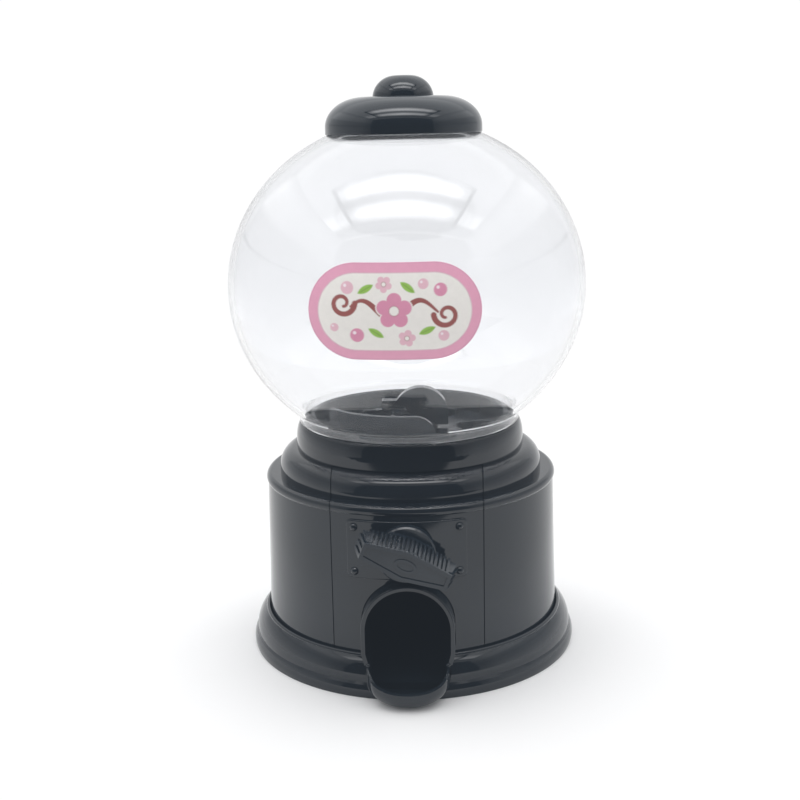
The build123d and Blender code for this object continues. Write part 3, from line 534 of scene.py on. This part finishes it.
def glow(name, strength, color=(0.985, 0.99, 1.0)):
    """An even light-giving material for the stage."""
    material = bpy.data.materials.new(name)
    material.use_nodes = True
    tree = material.node_tree
    tree.nodes.clear()
    emission = tree.nodes.new("ShaderNodeEmission")
    emission.inputs["Color"].default_value = (*color, 1)
    emission.inputs["Strength"].default_value = strength
    output = tree.nodes.new("ShaderNodeOutputMaterial")
    tree.links.new(emission.outputs["Emission"], output.inputs["Surface"])
    return material


def card(name, corners, material):
    """One flat panel of the light tent, which the camera doesn't see and which casts no shadow."""
    panel = new_mesh(name, corners, [(0, 1, 2, 3)], smooth=False)
    panel.data.materials.append(material)
    panel.visible_camera = False
    panel.visible_shadow = False
    return panel


def level_card(name, x0, x1, y0, y1, z, material):
    """A card that lies flat."""
    return card(name, [(x0, y0, z), (x1, y0, z), (x1, y1, z), (x0, y1, z)], material)


def across(tree, axis, stops):
    """Strength that changes smoothly along one axis; stops are (metres, strength), evenly scaled."""
    low, high = stops[0][0], stops[-1][0]
    top = max(value for _, value in stops)
    place = tree.nodes.new("ShaderNodeTexCoord")
    split = tree.nodes.new("ShaderNodeSeparateXYZ")
    tree.links.new(place.outputs["Object"], split.inputs["Vector"])
    reach = tree.nodes.new("ShaderNodeMapRange")
    reach.inputs["From Min"].default_value = low
    reach.inputs["From Max"].default_value = high
    tree.links.new(split.outputs[axis], reach.inputs["Value"])
    steps = tree.nodes.new("ShaderNodeValToRGB")
    steps.color_ramp.interpolation = "EASE"
    while len(steps.color_ramp.elements) < len(stops):
        steps.color_ramp.elements.new(0.5)
    for element, (at, value) in zip(steps.color_ramp.elements, stops):
        element.position = (at - low) / (high - low)
        element.color = (value / top,) * 3 + (1,)
    tree.links.new(reach.outputs["Result"], steps.inputs["Fac"])
    gain = tree.nodes.new("ShaderNodeMath")
    gain.operation = "MULTIPLY"
    gain.inputs[1].default_value = top
    tree.links.new(steps.outputs["Color"], gain.inputs[0])
    return gain.outputs["Value"]


def soft_glow(name, axis, stops, second=None):
    """A light-giving material whose strength runs along one axis, or along two."""
    material = glow(name, 1.0)
    tree = material.node_tree
    strength = across(tree, axis, stops)
    if second:
        product = tree.nodes.new("ShaderNodeMath")
        product.operation = "MULTIPLY"
        tree.links.new(strength, product.inputs[0])
        tree.links.new(across(tree, *second), product.inputs[1])
        strength = product.outputs["Value"]
    tree.links.new(strength, tree.nodes["Emission"].inputs["Strength"])
    return material


def build_tent():
    """Back, side and top panels, a lamp panel with two soft strips, and the dark room in front.

    A side is two cards: one shows in reflections, the other through the globe.  The room shows only
    in reflections, and the two fill cards only light what they face.
    """
    w, t, b, f = TENT_HALF_W, TENT_TOP, TENT_BACK, TENT_FRONT
    back = soft_glow("tent_back_light", "Z", [
        (0.0, 1.08), (0.03, 1.03), (0.08, 0.94), (0.14, 0.89), (0.28, 0.91), (t, 0.87)])
    card("tent_back", [(-w, b, 0), (w, b, 0), (w, b, t), (-w, b, t)], back)
    side_levels = [(0.0, 1.05), (0.04, 0.9), (0.10, 0.72), (0.152, 0.66), (0.16, 0.4), (0.168, 0.66),
                   (0.235, 0.7), (0.265, 1.05), (0.34, 1.2), (t, 0.9)]
    mirrored = soft_glow("tent_side_light", "Z", side_levels,
                         ("Y", [(f, 0.4), (-0.1, 0.85), (0.05, 1.0), (b, 1.1)]))
    through = soft_glow("tent_side_light_through", "Z", side_levels,
                        ("Y", [(f, 1.5), (-0.2, 1.4), (-0.05, 1.05), (0.05, 1.0), (b, 1.1)]))
    for side, x in (("left", -w), ("right", w)):
        corners = [(x, f, 0), (x, b, 0), (x, b, t), (x, f, t)]
        card(f"tent_{side}", corners, mirrored).visible_transmission = False
        card(f"tent_{side}_through", corners, through).visible_glossy = False
    level_card("tent_top", -w, w, f, b, t, soft_glow(
        "tent_top_light", "Y",
        [(f, 0.45), (-0.235, 0.5), (-0.2, 2.4), (-0.16, 2.2), (-0.1, 1.1), (0.0, 1.2), (b, 1.2)]))
    lamp = soft_glow(
        "lamp_light", "Y",
        [(-0.225, 0.7), (-0.205, 3.2), (-0.172, 6.8), (-0.142, 4.2), (-0.122, 1.3), (-0.095, 1.6),
         (-0.078, 5.5), (-0.05, 7.0), (-0.026, 3.2), (-0.004, 0.95)],
        ("X", [(-0.2, 0.0), (-0.188, 0.0), (-0.182, 0.3), (-0.13, 0.75), (0.0, 1.0), (0.13, 0.75),
               (0.182, 0.3), (0.188, 0.0), (0.2, 0.0)]))
    level_card("lamp_panel", -0.2, 0.2, -0.225, -0.004, t - 0.004, lamp)
    above = level_card("fill_above", -w, w, f, b, t - 0.01, soft_glow(
        "fill_above_light", "Y", [(f, 1.1), (0.0, 2.2), (b, 2.7)]))
    fill_y = f + 0.01
    before = card("fill_before", [(-w, fill_y, 0), (w, fill_y, 0), (w, fill_y, t), (-w, fill_y, t)],
                  glow("fill_before_light", 0.5))
    for fill in (above, before):
        fill.visible_glossy = False
        fill.visible_transmission = False
    dark = glow("room_dark", 0.055)
    room_w, room_y = w + 0.2, f - ROOM_BEYOND
    room = card("room_front", [(-room_w, room_y, -0.001), (room_w, room_y, -0.001), (room_w, room_y, t),
                               (-room_w, room_y, t)], dark)
    table = level_card("room_table", -room_w, room_w, room_y, FLOOR_END, 0.0004, dark)
    for piece in (room, table):
        piece.visible_transmission = False


def build_floor():
    """White floor that takes the soft shadow and brightens into the white surround."""
    steps, rings = 96, [0.0, 0.05, 0.1, 0.15, 0.2, 0.3, 0.5, 0.9, 2.0]
    verts, faces = [(0, 0, 0)], []
    for r in rings[1:]:
        verts += [(r * math.cos(2 * math.pi * i / steps), r * math.sin(2 * math.pi * i / steps), 0)
                  for i in range(steps)]
    for i in range(steps):
        faces.append((0, 1 + i, 1 + (i + 1) % steps))
    for k in range(len(rings) - 2):
        a, b = 1 + k * steps, 1 + (k + 1) * steps
        faces += [(a + i, b + i, b + (i + 1) % steps, a + (i + 1) % steps) for i in range(steps)]
    floor = new_mesh("floor", verts, faces, smooth=False)
    material, tree, shader = node_material("floor_white")
    shader.inputs["Base Color"].default_value = (0.86, 0.86, 0.86, 1)
    shader.inputs["Roughness"].default_value = 0.6
    shader.inputs["Specular IOR Level"].default_value = 0.15
    place = tree.nodes.new("ShaderNodeTexCoord")
    reach = tree.nodes.new("ShaderNodeVectorMath")
    reach.operation = "LENGTH"
    tree.links.new(place.outputs["Object"], reach.inputs[0])
    fade = tree.nodes.new("ShaderNodeMapRange")
    fade.interpolation_type = "SMOOTHSTEP"
    fade.inputs["From Min"].default_value = FLOOR_FADE[0]
    fade.inputs["From Max"].default_value = FLOOR_FADE[1]
    tree.links.new(reach.outputs["Value"], fade.inputs["Value"])
    bright = tree.nodes.new("ShaderNodeEmission")
    bright.inputs["Strength"].default_value = WHITE
    mix = tree.nodes.new("ShaderNodeMixShader")
    tree.links.new(fade.outputs["Result"], mix.inputs["Fac"])
    tree.links.new(shader.outputs["BSDF"], mix.inputs[1])
    tree.links.new(bright.outputs["Emission"], mix.inputs[2])
    tree.links.new(mix.outputs["Shader"], tree.nodes["Material Output"].inputs["Surface"])
    floor.data.materials.append(material)


def build_world():
    """Even white surround."""
    world = bpy.data.worlds.new("white_surround")
    bpy.context.scene.world = world
    world.use_nodes = True
    background = world.node_tree.nodes["Background"]
    background.inputs["Color"].default_value = (1, 1, 1, 1)
    background.inputs["Strength"].default_value = WHITE


def set_tone():
    """Plain display transform with the blacks lifted a little, cooler than the whites."""
    view = bpy.context.scene.view_settings
    view.view_transform = "Standard"
    view.use_curve_mapping = True
    view.curve_mapping.black_level = BLACK_LEVEL
    view.curve_mapping.update()


def place_camera():
    """Camera at the machine's lid height, looking down at it from just in front."""
    heading, pitch, roll = (math.radians(a) for a in (CAMERA_HEADING, CAMERA_PITCH, CAMERA_ROLL))
    flat = math.cos(pitch)
    forward = Vector((math.sin(heading) * flat, math.cos(heading) * flat, -math.sin(pitch)))
    level = Vector((math.cos(heading), -math.sin(heading), 0))
    upright = level.cross(forward)
    right = level * math.cos(roll) - upright * math.sin(roll)
    up = upright * math.cos(roll) + level * math.sin(roll)
    data = bpy.data.cameras.new("camera")
    data.sensor_width = 36
    data.lens = CAMERA_LENS
    data.clip_start, data.clip_end = 0.01, 20
    camera = bpy.data.objects.new("camera", data)
    turn = Matrix((right, up, -forward)).transposed().to_4x4()
    camera.matrix_world = Matrix.Translation(CAMERA_AT) @ turn
    bpy.context.scene.collection.objects.link(camera)
    bpy.context.scene.camera = camera


place_camera()
build_world()
build_floor()
build_tent()
build_globe()
build_label()
finish_cad_nodes()
set_tone()
